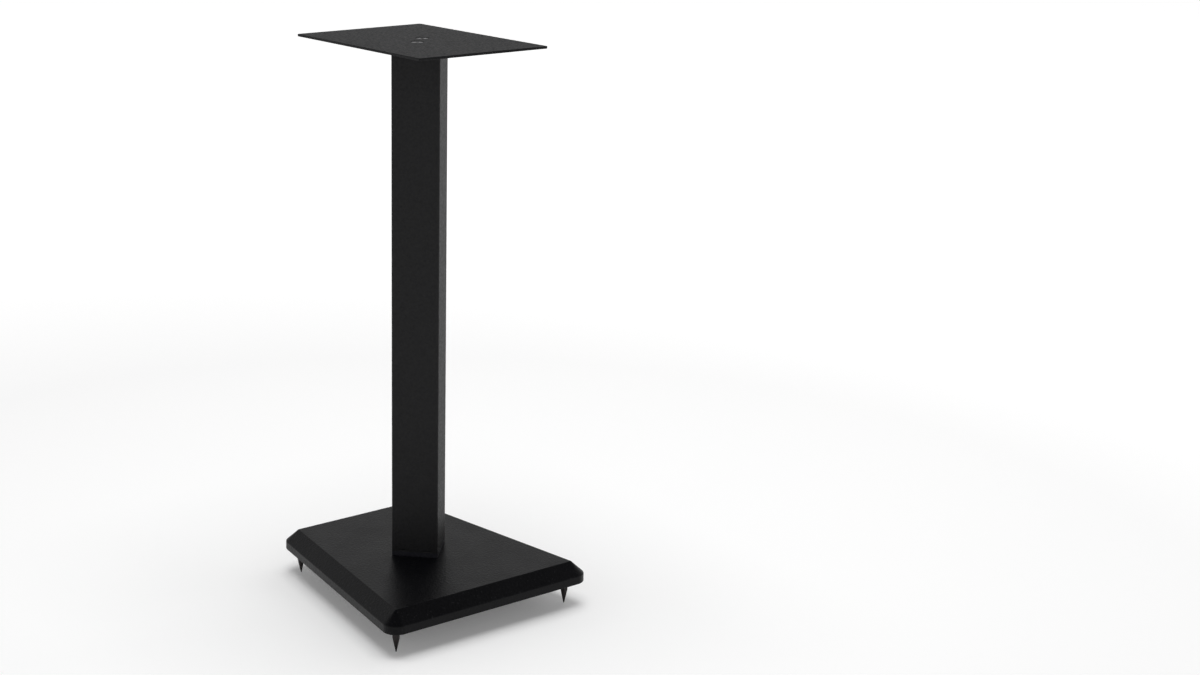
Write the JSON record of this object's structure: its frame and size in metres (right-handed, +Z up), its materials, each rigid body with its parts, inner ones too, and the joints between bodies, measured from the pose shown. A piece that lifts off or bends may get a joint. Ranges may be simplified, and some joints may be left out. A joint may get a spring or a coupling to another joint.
{
  "type": "speaker stand",
  "caption": "Floor stand for a small loudspeaker: chamfered trapezoid base board on levelling spikes, square steel column set corner-first, flat steel top plate.",
  "frame": {"origin": "on the floor under the middle of the base board, where the spike points stand", "axes": "+Z up, -Y towards the wide front edge of the board, +X to the right seen from the front"},
  "size_m": [0.2552, 0.273, 0.6],
  "materials": {
    "plate_coat": "fine-textured matt black powder coat on steel sheet",
    "column_coat": "fine-textured satin black powder coat on steel tube",
    "board_lacquer": "satin black lacquer with a fine grain on fibreboard",
    "screw_oxide": "black oxide on machined steel",
    "zinc_plate": "bright zinc plate on steel",
    "nut_black": "black zinc plate on machined steel",
    "spike_steel": "black nickel plate on turned steel",
    "bare_steel": "bare cut steel, inside the tube",
    "weld_bead": "bare weld, inside the tube"
  },
  "bodies": {
    "stand": {"top_plate": "plate_coat", "column_tube": "column_coat", "column_top_end_plate": "bare_steel", "column_bottom_end_plate": "bare_steel", "column_top_welds": "weld_bead", "column_bottom_welds": "weld_bead", "base_board": "board_lacquer", "plate_screw_front_left": "screw_oxide", "base_bolt_front_left": "screw_oxide", "base_washer_front_left": "zinc_plate", "plate_screw_rear_right": "screw_oxide", "base_bolt_rear_right": "screw_oxide", "base_washer_rear_right": "zinc_plate", "spike_insert_front_left": "zinc_plate", "spike_lock_nut_front_left": "nut_black", "spike_insert_front_right": "zinc_plate", "spike_lock_nut_front_right": "nut_black", "spike_insert_rear_left": "zinc_plate", "spike_lock_nut_rear_left": "nut_black", "spike_insert_rear_right": "zinc_plate", "spike_lock_nut_rear_right": "nut_black"},
    "spike_front_left": {"spike_front_left": "spike_steel"},
    "spike_front_right": {"spike_front_right": "spike_steel"},
    "spike_rear_left": {"spike_rear_left": "spike_steel"},
    "spike_rear_right": {"spike_rear_right": "spike_steel"}
  },
  "joints": [
    {"name": "level_front_left", "type": "slide", "parent": "stand", "child": "spike_front_left", "axis": [0, 0, -1], "range_m": [0, 0.006]},
    {"name": "level_front_right", "type": "slide", "parent": "stand", "child": "spike_front_right", "axis": [0, 0, -1], "range_m": [0, 0.006]},
    {"name": "level_rear_left", "type": "slide", "parent": "stand", "child": "spike_rear_left", "axis": [0, 0, -1], "range_m": [0, 0.006]},
    {"name": "level_rear_right", "type": "slide", "parent": "stand", "child": "spike_rear_right", "axis": [0, 0, -1], "range_m": [0, 0.006]}
  ]
}
